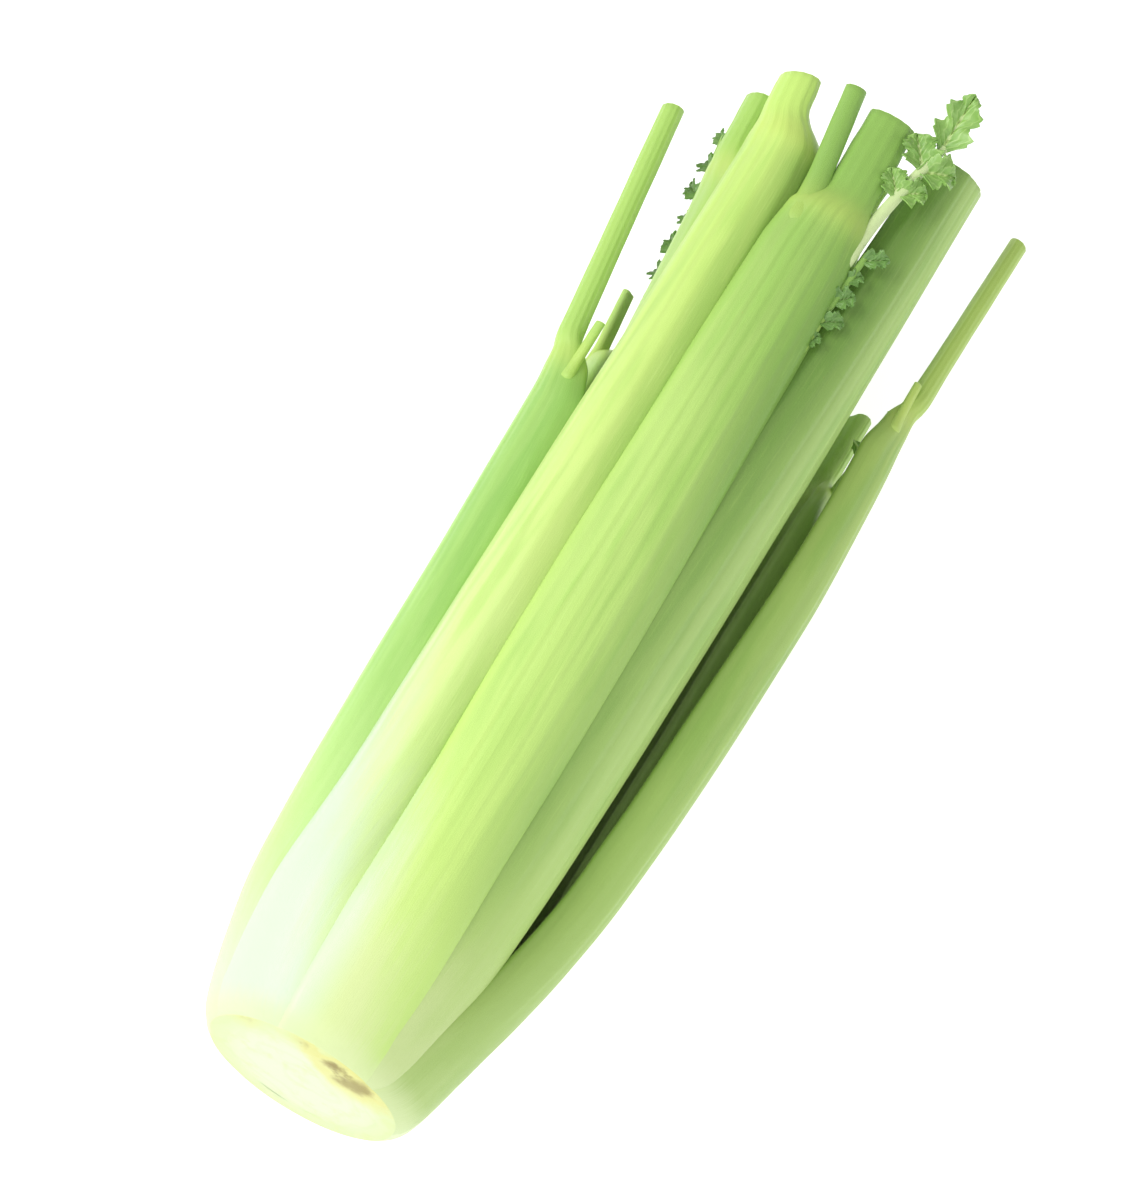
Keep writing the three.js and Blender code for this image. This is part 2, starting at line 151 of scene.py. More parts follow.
def inner_stalk(**changes):
    """A stalk of the second ring."""
    common = dict(
        slot="inner_stalks", start=10, ring=tuple(INNER_RADIUS), half=(11, 11), wall=6.2, curve=6.5,
        ribs=4, rib_height=0.6, tuck=(0, 0), points=37, spacing=3.4, colours="inner",
    )
    return Stalk(**{**common, **changes})


def heart_stalk(**changes):
    """A thin pale stalk of the heart."""
    common = dict(
        slot="heart_stalks", start=20, ring=tuple(HEART_RADIUS), half=(7, 7), wall=4.6, curve=4.5,
        ribs=3, rib_height=0.5, tuck=(0, 0), points=25, spacing=4, colours="heart",
    )
    return Stalk(**{**common, **changes})


def trifoliate(size):
    """Three leaflets at a stem's tip: (place on the stem, turn, length, width, curl)."""
    return (
        (0.97, 0, 15 * size, 6.5 * size, 0.5), (0.8, 52, 12 * size, 5 * size, 0.7),
        (0.82, -50, 12 * size, 5 * size, 0.3),
    )


PLUME = (
    (0.97, -12, 19, 6.5, -0.3), (0.8, 50, 15, 6.5, 0.6), (0.82, -50, 14, 6.5, 0.3), (0.62, 44, 11, 5, 0.4),
    (0.6, -52, 11, 5, 0.2),
)
FEATHERED = (
    (0.97, 0, 17, 7, 0.4), (0.72, 56, 13, 5.5, 0.6), (0.74, -52, 13, 5.5, 0.5), (0.42, 62, 11, 5, 0.4),
    (0.45, -60, 10, 4.5, 0.8),
)


def fringe(side, count):
    """A row of small leaflets down one side of a stem: side is -1 for its left and 1 for its right."""
    row = []
    for k in range(count):
        size = 2 * k % 3
        turn, length, width = 28 + 12 * size, 7 + 1.6 * size, 2.8 + 0.5 * (k % 3)
        row.append(((k + 1) / (count + 0.3), side * turn, length, width, 0.3 + 0.2 * (k % 2)))
    return tuple(row)


STALKS = [
    Stalk(
        name="outer_stalk_top", colours="crest", angle=17, lean=-3, half=(15.8, 15.8), slim=0.92, curve=6.4,
        tuck=(-0.35, 0), ribs=7, shoulder=0.16, end=311,
        branches=(
            Branch(at=292, across=0.22, reach=(54, -1.5, -1), girth=(9, 7.6), flat=0.56),
            Branch(at=293, across=-0.45, reach=(55, -7.5, 1.5), girth=(4, 3.4)),
            Branch(
                at=290, across=0.75, reach=(56, 9, 4), girth=(2.4, 1.5), bend=-2, pale=0.8, leaflets=PLUME,
            ),
            Branch(at=258, across=0.9, reach=(44, 3, 2.5), girth=(1.5, 1), painted_leaf_shade=0.9, leaflets=fringe(1, 5)),
        ),
    ),
    Stalk(
        name="outer_stalk_left", colours="pale", angle=-23, lean=3, half=(15.2, 15.6), root_turn=-6,
        foot=(0.4, 0.1), slim=0.94, curve=8.2, tuck=(0.2, 1.8), shoulder=0.12, end=330, neck=(9, 7),
        branches=(Branch(at=312, across=-0.1, reach=(35.5, -4.2, 0), girth=(8, 7), flat=0.7),),
    ),
    Stalk(
        name="outer_stalk_right", colours="dull", angle=50, lean=6, root_turn=-4, half=(15, 15.5),
        foot=(0, -0.15), slim=0.8, curve=5, tuck=(0.6, 0.1), end=349, slant=0.16,
        flare=((10, -0.6), (60, -2.8), (200, -1.6), (350, -2.6)),
    ),
    Stalk(
        name="side_stalk_right", colours="olive", slot="side_stalks", angle=97, root_turn=-13,
        foot=(0.5, 0.35), half=(12.5, 12.5), slim=0.86, curve=6.5, ribs=5, tuck=(0.3, 0.6), shoulder=0.5,
        end=282,
        flare=(
            (20, 0), (42, 1.2), (68, 4.3), (94, 7.1), (125, 9.4), (200, 11.5), (240, 10.5), (268, 8.4),
            (290, 4.5),
        ),
        branches=(
            Branch(at=266, across=-0.15, reach=(87, 1, 2.5), girth=(4.4, 3.8), flat=1.1, bend=-1),
            Branch(at=270, across=-0.6, reach=(18, -4, 0), girth=(3, 2.3)),
        ),
    ),
    Stalk(
        name="side_stalk_left", colours="mint", slot="side_stalks", angle=-63, half=(15, 13.5), slim=0.85,
        ribs=5, tuck=(0.3, 0.9), shoulder=0.5, end=238, flare=((60, 0), (105, 0.8), (235, 3.4)),
        branches=(
            Branch(at=218, across=0.05, reach=(108, 0.5, 14), girth=(4.9, 4.2), flat=1.1, bend=-1),
            Branch(at=224, across=0.6, reach=(22, 5, 1), girth=(3, 2.4)),
        ),
    ),
    Stalk(
        name="under_stalk_right", colours="shade", slot="under_stalks", angle=129, half=(15.5, 14),
        tuck=(0.6, 0.8), flare=((30, 0), (150, 2.4)), ribs=5, shoulder=0.4, end=258,
        branches=(
            Branch(at=242, across=0.2, reach=(46, 3, 2), girth=(6.2, 5.6)),
            Branch(at=238, across=-0.45, reach=(40, -5, 3), girth=(2.2, 1.5), leaflets=trifoliate(0.85)),
        ),
    ),
    Stalk(
        name="bottom_stalk_right", colours="shade", slot="under_stalks", angle=164, half=(14.6, 16),
        curve=5.2, tuck=(0.2, 0.1), ribs=5, shoulder=0.35, end=322,
        branches=(
            Branch(at=306, across=0, reach=(42, 1, 0), girth=(6.8, 6.2), flat=0.75),
            Branch(at=308, across=-0.6, reach=(30, -6, -1), girth=(3.4, 2.8)),
        ),
    ),
    Stalk(
        name="bottom_stalk_left", colours="shade", slot="under_stalks", angle=202, half=(16, 16),
        tuck=(0.9, 0.2), ribs=5, end=346, slant=-0.12,
    ),
    Stalk(
        name="under_stalk_left", colours="shade", slot="under_stalks", angle=247, half=(16.5, 16.5),
        tuck=(0.9, 0.9), ribs=5, shoulder=0.4, end=262,
        branches=(
            Branch(at=246, across=-0.3, reach=(66, -3, 1), girth=(5.6, 4.8)),
            Branch(at=248, across=0.5, reach=(32, 4, 1), girth=(3.2, 2.6)),
        ),
    ),
    inner_stalk(
        name="inner_stalk_right", angle=78, end=310, shoulder=0.35, flare=((40, 0), (120, 2)),
        branches=(Branch(at=298, across=0, reach=(40, -2, 1), girth=(4.2, 3.6), leaflets=trifoliate(0.9)),),
    ),
    inner_stalk(
        name="inner_stalk_left", angle=-54, lean=6, end=318, shoulder=0.3, flare=((190, 0), (320, 12)),
        branches=(
            Branch(at=304, across=-0.05, reach=(38, 0.5, 3), girth=(6.2, 5.6)),
            Branch(
                at=258, across=-0.85, reach=(74, -3, 9), girth=(1.8, 1.2), painted_leaf_shade=0.8, leaflets=fringe(-1, 7),
            ),
        ),
    ),
    inner_stalk(
        name="inner_stalk_top", angle=22, end=326, shoulder=0.3, flare=((40, 0), (120, 1)),
        branches=(Branch(at=314, across=0.2, reach=(26, 3, 0), girth=(4, 3.4)),),
    ),
    inner_stalk(name="inner_stalk_under_right", angle=146, end=332, slant=0.2),
    inner_stalk(
        name="inner_stalk_under_left", angle=222, end=300, shoulder=0.35,
        branches=(Branch(at=288, across=0, reach=(44, 1, 1), girth=(4, 3.4)),),
    ),
    heart_stalk(
        name="heart_stalk_top", angle=-10, end=256, shoulder=0.3,
        branches=(Branch(at=246, across=0, reach=(74, 2, 1), girth=(2.8, 1.6), leaflets=FEATHERED),),
    ),
    heart_stalk(
        name="heart_stalk_right", angle=112, end=236, shoulder=0.3,
        branches=(Branch(at=226, across=0, reach=(84, -2, 0), girth=(2.8, 1.5), leaflets=trifoliate(1.2)),),
    ),
    heart_stalk(
        name="heart_stalk_left", angle=234, end=212, shoulder=0.3,
        branches=(Branch(at=202, across=0, reach=(90, 2, -1), girth=(2.6, 1.4), leaflets=trifoliate(1.15)),),
    ),
]
for number, stalk in enumerate(STALKS):
    stalk.seed = number + 1


# Curves and places on the head

def along(profile, place):
    """Values of a profile at places up the head, on a smooth curve through its points."""
    at, value = np.array(profile, float).T
    last = len(at) - 1
    index = np.arange(last + 1)
    before, after = np.maximum(index - 1, 0), np.minimum(index + 1, last)
    slope = (value[after] - value[before]) / (at[after] - at[before])
    place = np.clip(place, at[0], at[-1])
    k = np.clip(np.searchsorted(at, place, side="right") - 1, 0, last - 1)
    span = at[k + 1] - at[k]
    t = (place - at[k]) / span
    return (
        (2 * t**3 - 3 * t**2 + 1) * value[k] + (t**3 - 2 * t**2 + t) * span * slope[k]
        + (3 * t**2 - 2 * t**3) * value[k + 1] + (t**3 - t**2) * span * slope[k + 1]
    )


def smooth(value, low, high):
    """0 below low, 1 above high, and an even S between them."""
    t = np.clip((value - low) / (high - low), 0, 1)
    return t * t * (3 - 2 * t)


def mix(a, b, share):
    return a + (b - a) * share


def bump(value, middle, width):
    """1 at the middle, falling to nothing on both sides."""
    return np.exp(-(((value - middle) / width) ** 2))


def wave(place, length, seed):
    """A slow uneven wave between about -1 and 1, another one for each seed."""
    turn = place * 2 * math.pi / length
    parts = ((0.5, 1, 1.7), (0.3, 2.3, 4.1), (0.2, 4.9, 2.9))
    return sum(height * np.sin(rate * turn + shift * seed) for height, rate, shift in parts)


def outward(turn):
    turn = np.radians(turn)
    return np.stack([np.zeros_like(turn), -np.sin(turn), np.cos(turn)], axis=-1)


def sideways(turn):
    turn = np.radians(turn)
    return np.stack([np.zeros_like(turn), -np.cos(turn), -np.sin(turn)], axis=-1)


def place_on_head(turn, out, aside, up):
    """Points in the head's own millimetres, from arrays that fit each other."""
    turn, out, aside, up = np.broadcast_arrays(turn, out, aside, up)
    along_axis = up[..., None] * np.array([1.0, 0, 0])
    return out[..., None] * outward(turn) + aside[..., None] * sideways(turn) + along_axis


# The stalk's wall

EDGE_POINTS = 5
RIB_SHARE = 0.75
KNOT_SWELL = 0.1


def section(points, edge_points=EDGE_POINTS):
    """The points round a wall: across it, towards its outer (1) or inner (-1) face, past its margins,
    and the angle of the same point on a round stem."""
    across = np.linspace(-1, 1, points)
    bend = np.linspace(0, math.pi, edge_points + 2)[1:-1]
    face, edge = np.ones(points), np.ones(edge_points)
    low = np.arange(1, points + 2 * edge_points + 1) / (points + 2 * edge_points + 1)
    return (
        np.concatenate([across, edge, across[::-1], -edge]),
        np.concatenate([face, np.cos(bend), -face, -np.cos(bend)]),
        np.concatenate([0 * face, np.sin(bend), 0 * face, -np.sin(bend)]),
        np.concatenate([math.pi * (1 - across) / 2, -math.pi * low]),
    )


def ridge(stalk, across, up):
    """Height of the ribs, 0 in a groove and 1 on a crest: broad ribs with a fine one beside each."""
    wander = 0.02 * wave(up, 400, stalk.seed)
    phase = math.pi * stalk.ribs * (across + wander * (1 - across**2) + 1) / 2
    uneven = 0.7 + 0.3 * np.sin(6.3 * phase / stalk.ribs + 1.9 * stalk.seed)
    return (0.7 * np.sin(phase) ** 2 + 0.3 * np.sin(2 * phase + 0.6) ** 2) * uneven


def bow(across, roundness):
    """How a wall bows away from its crest, 0 in the middle and 1 at a margin, and its slope."""
    round_off = np.sqrt(1 - roundness * across**2)
    whole = 1 - np.sqrt(1 - roundness)
    return (1 - round_off) / whole, roundness * across / round_off / whole


def wall_at(stalk, across, up):
    """The middle surface of the wall: its turn, distance out and to the side, slope and thickness."""

    def side_of(pair):
        return np.where(across < 0, pair[0], pair[1])

    at_root = 1 - smooth(up, *BROAD_BASE)
    opened = smooth(up, *OPENING)
    turn = stalk.angle + stalk.lean * smooth(up, LEANS_FROM, stalk.end) + stalk.root_turn * at_root
    near_node = 1 - stalk.shoulder * smooth(up, stalk.end - SHOULDER_LENGTH, stalk.end)
    narrowed = mix(1, stalk.slim, smooth(up, SLIMS_FROM, stalk.end)) * near_node
    half = side_of(stalk.half) * along(SPREAD, up) * narrowed * (1 + side_of(stalk.foot) * at_root)
    wall = stalk.wall * along(WALL_SHARE, up) * mix(1, near_node, 0.5)
    radius = along(stalk.ring, up) + along(stalk.flare, up)
    flush_drop = half**2 / (2 * radius) + FLUSH_TUCK * side_of(stalk.tuck)
    open_drop = stalk.curve * half**2 / side_of(stalk.half) ** 2 + OPEN_TUCK * side_of(stalk.tuck)
    drop = mix(flush_drop, open_drop, opened)
    bowed, bow_slope = bow(across, mix(FLUSH_ROUNDNESS, OPEN_ROUNDNESS, opened))
    margin = np.minimum(along(MARGIN_WALL, up), 0.8 * wall)
    rise = stalk.rib_height * smooth(up, *RIBS_RISE)
    return {
        "turn": turn,
        "out": radius - wall / 2 - rise - drop * bowed,
        "aside": half * across,
        "slope": np.arctan2(drop * bow_slope, half),
        "thick": margin + (wall - margin) * (1 - across**2) ** 0.7,
        "rise": rise,
    }


def channel_rings(stalk, shape, up):
    """Rings of points round the channel, and the middle of its wall beside each point."""
    across, side, past, _ = (values[None, :] for values in shape)
    up = up[:, None]
    outer_face = np.clip(side, 0, 1)
    wall = wall_at(stalk, across, up)
    knot = bump(up, stalk.end - 5, 5) if stalk.branches else 0 * up
    thick = wall["thick"] * (1 + KNOT_SWELL * knot)
    ribs = wall["rise"] * mix(0.3, RIB_SHARE * ridge(stalk, across, up), 0.7) * outer_face
    uneven = 0.3 * wave(up, 300, stalk.seed + 2) * smooth(up, 30, 120) * (1 - 0.5 * across**2)
    off = side * thick / 2 + ribs + uneven + 0.3 * knot * outer_face
    beyond = past * thick / 2
    sine, cosine = np.sin(wall["slope"]), np.cos(wall["slope"])
    aside = wall["aside"] + off * sine + beyond * cosine
    out = wall["out"] + off * cosine - beyond * sine
    slant = stalk.slant * smooth(up, stalk.end - SLANT_LENGTH, stalk.end)
    rings = place_on_head(wall["turn"], out, aside, up + slant * aside)
    middle = place_on_head(wall["turn"], wall["out"], wall["aside"], up + slant * wall["aside"])
    return rings, middle


# Stems above the node

STEM_RIBS = 13
STEM_RIBBING = 0.016
STEM_THICK = 0.83
STEM_POINTS = 13
STEM_EDGE_POINTS = 2


def stem_path(stalk, branch):
    """The three points that a stem bends between, and its turn round the head."""
    wall = wall_at(stalk, np.array(branch.across), np.array(float(branch.at)))
    turn = float(wall["turn"])
    start = place_on_head(turn, wall["out"], wall["aside"], branch.at)
    rise, aside, out = branch.reach
    reach = np.array([rise, 0, 0]) + aside * sideways(turn) + out * outward(turn)
    return start, start + reach / 2 + branch.bend * sideways(turn), start + reach, turn


def stem_frame(path, t):
    """Middle, direction, sideways and outward directions at places 0 to 1 up a stem."""
    start, middle, finish, turn = path
    t = np.asarray(t, float)[..., None]
    at = (1 - t) ** 2 * start + 2 * t * (1 - t) * middle + t**2 * finish
    ahead = 2 * (1 - t) * (middle - start) + 2 * t * (finish - middle)
    ahead = ahead / np.linalg.norm(ahead, axis=-1, keepdims=True)
    across = sideways(turn) - (ahead @ sideways(turn))[..., None] * ahead
    across = across / np.linalg.norm(across, axis=-1, keepdims=True)
    return at, ahead, across, np.cross(across, ahead)


def stem_rings(stalk, branch, shape, t, flared=True):
    """Rings round a stem that is ribbed outside and a little hollow inside."""
    across, _, _, around = (values[None, :] for values in shape)
    at, _, sideward, out = stem_frame(stem_path(stalk, branch), t)
    t = np.asarray(t, float)[:, None]
    flare = 1 + (0.45 if flared else 0.12) * (1 - smooth(t, 0, 0.42))
    girth = mix(branch.girth[0], branch.girth[1], t) * flare * (1 + 0.03 * wave(60 * t, 60, stalk.seed))
    if flared:
        girth = girth * np.sqrt(np.clip((t + 0.01) / 0.12, 0, 1))
    ribbed = 1 + STEM_RIBBING * np.cos(STEM_RIBS * around + stalk.seed) * (np.sin(around) > 0)
    hollow = np.where(np.sin(around) < 0, 0.9 - 0.22 * np.sin(around) ** 6, 1)
    height = STEM_THICK * branch.flat * girth * np.sin(around) * hollow * ribbed
    width = girth * np.cos(around) * ribbed
    rings = at[:, None] + width[..., None] * sideward[:, None] + height[..., None] * out[:, None]
    middle = at[:, None] + (0.55 * girth * across)[..., None] * sideward[:, None]
    return rings, middle


# Meshes

def deselect():
    bpy.ops.object.select_all(action="DESELECT")


def marked(piece, marks):
    """Writes named values at the piece's points, for its material to read."""
    for mark, values in marks.items():
        layer = piece.data.attributes.new(mark, "FLOAT", "POINT")
        layer.data.foreach_set("value", values.astype(np.float32).ravel())


def rolled(name, rings, marks):
    """A closed piece from rings of points: a grid is rolled up, and its seam and end lines are merged."""
    count, around = rings.shape[:2]

    def closed(values):
        return np.concatenate([values, values[:, :1]], axis=1)

    deselect()
    bpy.ops.mesh.primitive_grid_add(x_subdivisions=around, y_subdivisions=count - 1, size=1)
    piece = bpy.context.object
    piece.name = piece.data.name = name
    places = (closed(rings) + AXIS) / 1000
    # The table presses the lowest stalks flat
    places[..., 2] = np.maximum(places[..., 2], 0)
    piece.data.vertices.foreach_set("co", places.astype(np.float32).ravel())
    marked(piece, {mark: closed(np.broadcast_to(values, (count, around))) for mark, values in marks.items()})
    bpy.ops.object.mode_set(mode="EDIT")
    bpy.ops.mesh.select_all(action="SELECT")
    bpy.ops.mesh.remove_doubles(threshold=0.000002)
    bpy.ops.mesh.normals_make_consistent(inside=False)
    bpy.ops.object.mode_set(mode="OBJECT")
    return piece


def joined(name, pieces):
    """One object from several."""
    deselect()
    for piece in pieces:
        piece.select_set(True)
    bpy.context.view_layer.objects.active = pieces[0]
    if len(pieces) > 1:
        bpy.ops.object.join()
    pieces[0].name = pieces[0].data.name = name
    return pieces[0]


SHARP_ANGLE = 48


def finished(piece, material):
    """Smooth shading with the sharp rims kept, and the piece's finish."""
    deselect()
    piece.select_set(True)
    bpy.context.view_layer.objects.active = piece
    bpy.ops.object.shade_smooth_by_angle(angle=math.radians(SHARP_ANGLE))
    piece.data.materials.clear()
    piece.data.materials.append(material)
    return piece


# The rings that close a cut end, as shares of its last ring
CAP = (0, 0.3, 0.6, 0.82, 0.95)
STALK_LIP = 0.25
STEM_LIP = 0.15


def capped(rings, middle, lip):
    """Closes rings at both ends by shrinking the end rings onto the wall's middle line. The second result
    is how far each ring is drawn out from that line, and the third is 1 on the cut ends."""
    share = np.array(CAP)

    def cap(end, before, order):
        line = middle[end]
        ahead = line - middle[before]
        ahead = ahead / np.linalg.norm(ahead[0]) * lip
        return np.array([line + ahead + (rings[end] - line) * s for s in order])

    body = np.ones(len(rings))
    return (
        np.concatenate([cap(0, 1, share), rings, cap(-1, -2, share[::-1])]),
        np.concatenate([share, body, share[::-1]]),
        np.concatenate([share * 0 + 1, body * 0, share * 0 + 1]),
    )


def with_caps(values):
    """The first and the last value again, for the rings that close the ends."""
    return np.pad(values, len(CAP), mode="edge")


def stalk_body(stalk):
    """The stalk from its root to the cut end of its thickest stem, as one closed piece."""
    shape = section(stalk.points)
    across, side, _, _ = shape
    root = stalk.start + np.array([0.0, 0.7, 1.6, 3, 4.6, 6.8, 9.4])
    stop = stalk.end
    if stalk.branches:
        main = stalk.branches[0]
        stop = main.at + main.reach[0]
    middle_part = np.arange(root[-1] + 2.8, stalk.end - 24, stalk.spacing)
    top_part = np.arange(middle_part[-1] + 1.5, stop, 1.5)
    up = np.concatenate([root, middle_part, top_part[:-1], [stop]])
    rings, middle = channel_rings(stalk, shape, np.minimum(up, stalk.end))
    stem, knot = 0 * up, 0 * up
    if stalk.branches:
        stem = smooth(up, stalk.end - stalk.neck[0], stalk.end + stalk.neck[1])
        knot = bump(up, stalk.end - 4, 6)
        share = np.clip((up - main.at) / main.reach[0], 0, 1)
        thin, thin_middle = stem_rings(stalk, main, shape, share, flared=False)
        blend = stem[:, None, None]
        rings, middle = mix(rings, thin, blend), mix(middle, thin_middle, blend)
    points, drawn, cut = capped(rings, middle, STALK_LIP)
    up = with_caps(up)[:, None]
    marks = {
        "up": up / TRIMMED,
        "across": across[None, :],
        "depth": drawn[:, None] * side[None, :],
        "cut": cut[:, None],
        "stem": with_caps(stem)[:, None],
        "knot": with_caps(knot)[:, None],
        "ridge": ridge(stalk, across[None, :], up),
    }
    return rolled(stalk.name + "_body", points, marks)


def stem_body(stalk, branch, number):
    """A thinner stem beside the main one."""
    shape = section(STEM_POINTS, STEM_EDGE_POINTS)
    around = shape[3][None, :]
    t = np.linspace(0, 1, 30)
    rings, middle = stem_rings(stalk, branch, shape, t)
    points, drawn, cut = capped(rings, middle, STEM_LIP)
    up = branch.at + branch.reach[0] * with_caps(t)[:, None]
    marks = {
        "up": up / TRIMMED,
        "across": np.cos(around),
        "depth": drawn[:, None] * np.sin(around),
        "cut": cut[:, None],
        "stem": 0 * up + 1,
        "knot": bump(up, branch.at + 10, 8),
        "ridge": 0.5 + 0.5 * np.cos(STEM_RIBS * around),
        "pale": 0 * up + branch.pale,
    }
    return rolled(f"{stalk.name}_stem_{number}", points, marks)


# Leaflets

LEAF_ACROSS = 14
LEAF_ALONG = 30
LEAF_THICK = 0.45
TEETH = 9
VEINS = 38
VEIN_SLANT = 0.35
LOBE_OUTLINE = [
    (0, 0.06), (0.08, 0.3), (0.2, 0.86), (0.3, 0.98), (0.38, 0.62), (0.5, 0.82), (0.62, 0.86), (0.72, 0.5),
    (0.84, 0.46), (0.94, 0.26), (1, 0.03),
]


def leaflet(name, root, ahead, out, length, width, curl, painted_leaf_shade, seed):
    """A lobed, toothed blade with a sunk midrib and arched sides."""
    s, t = np.meshgrid(np.linspace(-1, 1, LEAF_ACROSS + 1), np.linspace(0, 1, LEAF_ALONG + 1))
    across = np.cross(ahead, out)
    across = across / np.linalg.norm(across)
    face = np.cross(across, ahead)
    teeth = 1 + 0.13 * (2 * np.mod(t * TEETH + 0.15 * seed, 1) - 1) * smooth(t, 0.08, 0.25)
    reach = s * along(LOBE_OUTLINE, t) * width * teeth
    ruffle = 0.2 * width * np.abs(s) ** 1.5 * np.sin(15 * t + 2.4 * s + seed)
    veins = 0.05 * width * np.cos(VEINS * (t - VEIN_SLANT * np.abs(s))) * (1 - np.abs(s))
    sunk = 0.16 * width * bump(s, 0, 0.16)
    forward = length * (t - 0.35 * curl * t * t) + 0.16 * length * np.abs(s) * np.sin(math.pi * t)
    height = 0.35 * np.abs(reach) + ruffle + veins - sunk - curl * length * t * t * 0.6
    points = root + forward[..., None] * ahead + reach[..., None] * across + height[..., None] * face
    deselect()
    bpy.ops.mesh.primitive_grid_add(x_subdivisions=LEAF_ACROSS, y_subdivisions=LEAF_ALONG, size=1)
    blade = bpy.context.object
    blade.name = blade.data.name = name
    blade.data.vertices.foreach_set("co", ((points + AXIS) / 1000).astype(np.float32).ravel())
    marked(blade, {"leaf_across": s, "leaf_along": t, "painted_leaf_shade": painted_leaf_shade + 0 * t})
    solid = blade.modifiers.new("thickness", "SOLIDIFY")
    solid.thickness = LEAF_THICK / 1000
    solid.offset = 0
    bpy.ops.object.modifier_apply(modifier=solid.name)
    bpy.ops.object.mode_set(mode="EDIT")
    bpy.ops.mesh.select_all(action="SELECT")
    bpy.ops.mesh.normals_make_consistent(inside=False)
    bpy.ops.object.mode_set(mode="OBJECT")
    return blade


def stem_leaflets(stalk, branch):
    """The leaflets of one stem."""
    blades = []
    for number, (t, turn, length, width, curl) in enumerate(branch.leaflets):
        at, ahead, _, out = (values[0] for values in stem_frame(stem_path(stalk, branch), [t]))
        swing = -math.radians(turn)
        ahead = ahead * math.cos(swing) + np.cross(out, ahead) * math.sin(swing) + 0.25 * out
        ahead = ahead / np.linalg.norm(ahead)
        name = f"{stalk.name}_leaflet_{number}"
        seed = stalk.seed + 3 * number
        blades.append(leaflet(name, at - ahead, ahead, out, length, width, curl, branch.painted_leaf_shade, seed))
    return blades


# Materials

def tint(*colour, shares=(1, 1, 1)):
    """A colour as seen on a screen, 0 to 255, as the shader's own light values."""
    seen = np.minimum(np.multiply(colour, shares) / 255, 1)
    linear = np.where(seen <= 0.04045, seen / 12.92, ((seen + 0.055) / 1.055) ** 2.4)
    return (*linear.tolist(), 1)


class Link:
    """A socket of a material's nodes. Python's + - * / ** on it add Math nodes."""

    def __init__(self, finish, socket):
        self.finish = finish
        self.socket = socket

    def maths(self, operation, a, b):
        return self.finish.node("ShaderNodeMath", {0: a, 1: b}, operation=operation)

    def __add__(self, other):
        return self.maths("ADD", self, other)

    def __sub__(self, other):
        return self.maths("SUBTRACT", self, other)

    def __rsub__(self, other):
        return self.maths("SUBTRACT", other, self)

    def __mul__(self, other):
        return self.maths("MULTIPLY", self, other)

    def __pow__(self, other):
        return self.maths("POWER", self, other)

    def __neg__(self):
        return self.maths("MULTIPLY", self, -1)

    __radd__ = __add__
    __rmul__ = __mul__


class Finish:
    """A material in the making."""

    def __init__(self, name):
        self.material = bpy.data.materials.new(name)
        self.material.use_nodes = True
        self.tree = self.material.node_tree
        self.tree.nodes.clear()

    def node(self, kind, sockets=None, output=0, **settings):
        """Adds a node: its settings first, then the values or links of its sockets."""
        made = self.tree.nodes.new(kind)
        for key, value in settings.items():
            setattr(made, key, value)
        for key, value in (sockets or {}).items():
            if isinstance(value, Link):
                self.tree.links.new(value.socket, made.inputs[key])
            else:
                made.inputs[key].default_value = value
        return Link(self, made.outputs[output]) if made.outputs else None

    def mark(self, name):
        return self.node("ShaderNodeAttribute", output="Fac", attribute_name=name)

    def blend(self, factor, a, b):
        return self.node("ShaderNodeMix", {0: factor, 6: a, 7: b}, output=2, data_type="RGBA")

    def between(self, value, low, high):
        """0 below low, 1 above high, and smooth between them."""
        sockets = {0: value, 1: low, 2: high, 3: 0.0, 4: 1.0}
        return self.node("ShaderNodeMapRange", sockets, interpolation_type="SMOOTHSTEP")

    def vector(self, x, y, z=0.0):
        return self.node("ShaderNodeCombineXYZ", {0: x, 1: y, 2: z})

    def noise(self, vector, scale, detail, roughness=0.5):
        sockets = {"Vector": vector, "Scale": scale, "Detail": detail, "Roughness": roughness}
        return self.node("ShaderNodeTexNoise", sockets)

    def position(self):
        """Object coordinates, as three links."""
        place = self.node("ShaderNodeTexCoord", output="Object")
        apart = self.node("ShaderNodeSeparateXYZ", {0: place})
        outputs = apart.socket.node.outputs
        return place, [Link(self, outputs[i]) for i in range(3)]

    def relief(self, height, strength, distance):
        return self.node("ShaderNodeBump", {"Strength": strength, "Distance": distance, "Height": height})

    def surface(self, sockets):
        shader = self.node("ShaderNodeBsdfPrincipled", sockets)
        self.node("ShaderNodeOutputMaterial", {0: shader})
        return self.material


@dataclass
class Skin:
    """A stalk's own colours, as seen on a screen: at its root, low down, in the middle and near its node.

    White is where the white of the root starts and ends to turn green, tilt is how much higher it does on
    the left margin, and painted_flank_shade is how strong the painted shade is on the left and the right
    flank, standing in for the shade that falls there; flank_shade_from is where across the wall it begins.
    """

    root: tuple
    low: tuple
    body: tuple
    top: tuple
    white: tuple
    painted_flank_shade: tuple
    root_left: tuple = ()
    tilt: float = 0
    flank_shade_from: float = 0.05


